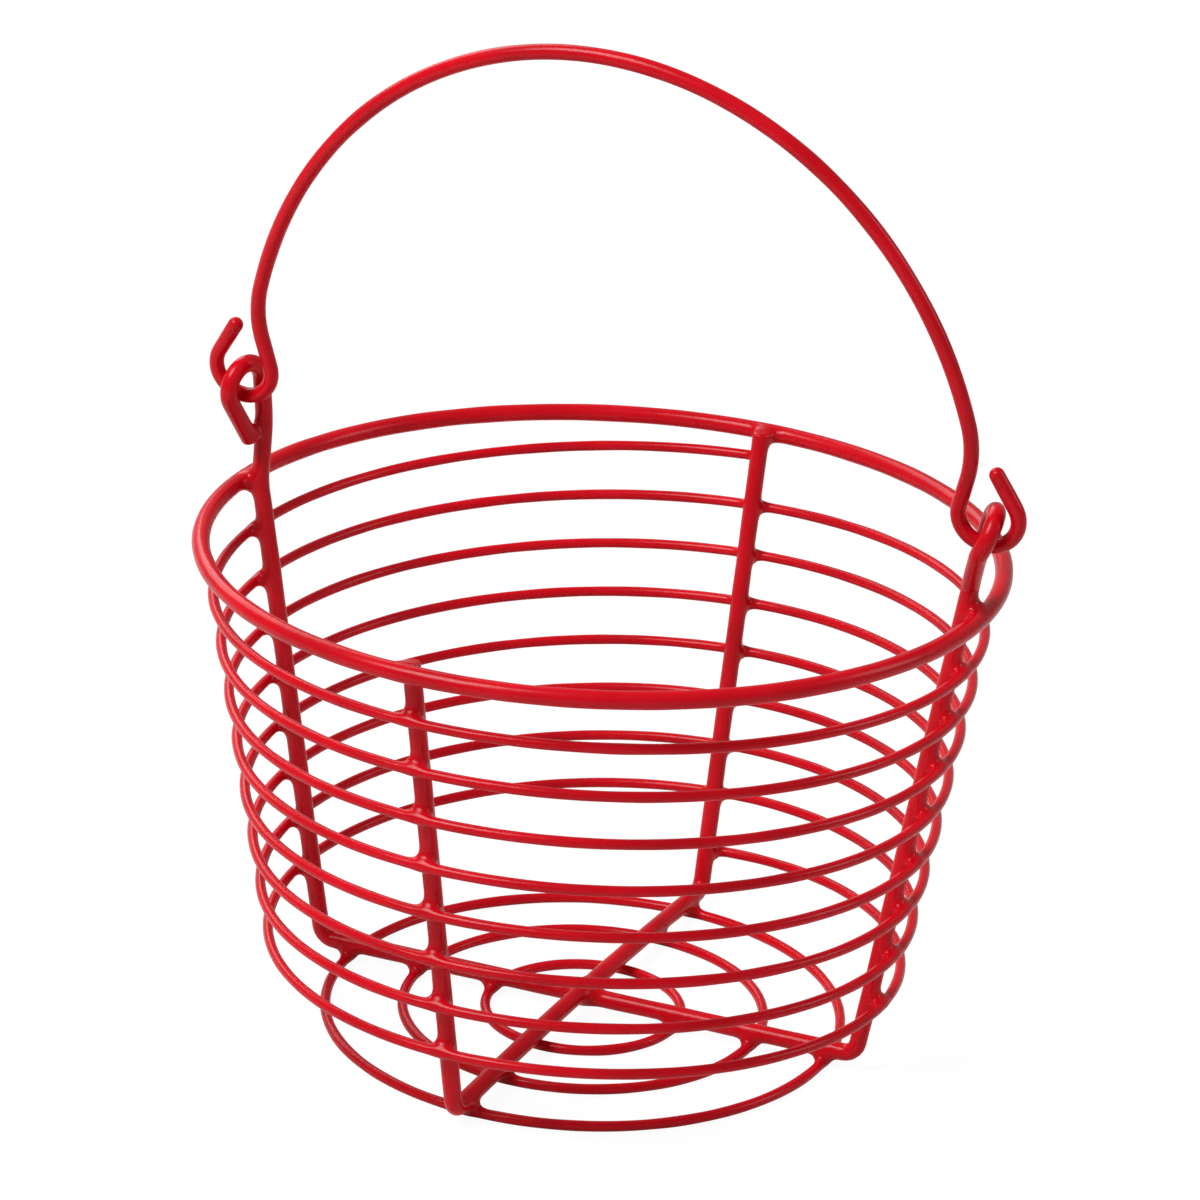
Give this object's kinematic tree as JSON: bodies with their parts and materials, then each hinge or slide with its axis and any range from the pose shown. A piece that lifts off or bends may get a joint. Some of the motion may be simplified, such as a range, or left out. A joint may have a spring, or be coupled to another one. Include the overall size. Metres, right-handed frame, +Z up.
{
  "type": "wire egg basket",
  "caption": "Round welded wire basket with a heavy rim, a spiral-wound tapering side, ring base and an arched bail that swings in open eyes.",
  "frame": {"origin": "on the ground under the middle of the bail's hinge axis, at the bottom centre of the bounding box; the basket's own middle is 3.79 mm from it towards -X", "axes": "+Z up; +X through the legs under the two eyes and nearly along the bail's hinge, which is 1.2 degrees lower at +X; +Y away from the side the eyes and the resting bail lean to"},
  "size_m": [0.2691, 0.2532, 0.3271],
  "materials": {
    "coated_wire": "glossy red dipped plastic over steel wire, soft and slightly uneven"
  },
  "bodies": {
    "basket": {"rim_ring": "coated_wire", "eye_frame": "coated_wire", "plain_frame": "coated_wire", "side_wire": "coated_wire", "base_ring_inner": "coated_wire", "base_ring_middle": "coated_wire", "base_ring_outer": "coated_wire"},
    "bail": {"bail": "coated_wire"}
  },
  "joints": [
    {"name": "bail_swing", "type": "hinge", "parent": "basket", "child": "bail", "pos_m": [0, -0.00947, 0.18968], "axis": [0.9998, 0, -0.0213], "range_deg": [-110, 98]}
  ]
}
